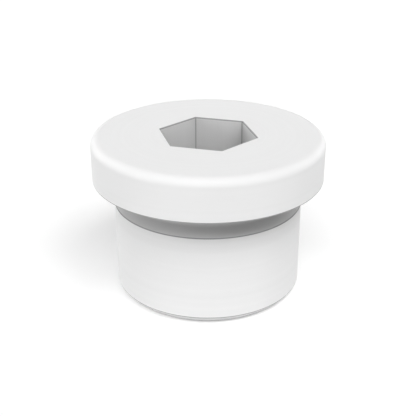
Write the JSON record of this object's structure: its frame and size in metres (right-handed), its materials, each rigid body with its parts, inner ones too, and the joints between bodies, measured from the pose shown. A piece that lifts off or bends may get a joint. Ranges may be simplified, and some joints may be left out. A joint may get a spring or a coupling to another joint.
{
  "type": "hex socket plug",
  "caption": "One-piece screw plug with a round flanged head, a hexagon socket, an undercut neck and a plain shank with a lead chamfer.",
  "frame": {"origin": "centre of the end face, the flat bottom that the plug stands on", "axes": "+Z along the plug's axis, from the end face up to the head; two flats of the socket are square to X"},
  "size_m": [0.027, 0.027, 0.019],
  "materials": {
    "plug": "smooth turned white engineering plastic"
  },
  "bodies": {
    "root": {"plug": "plug"}
  },
  "joints": []
}
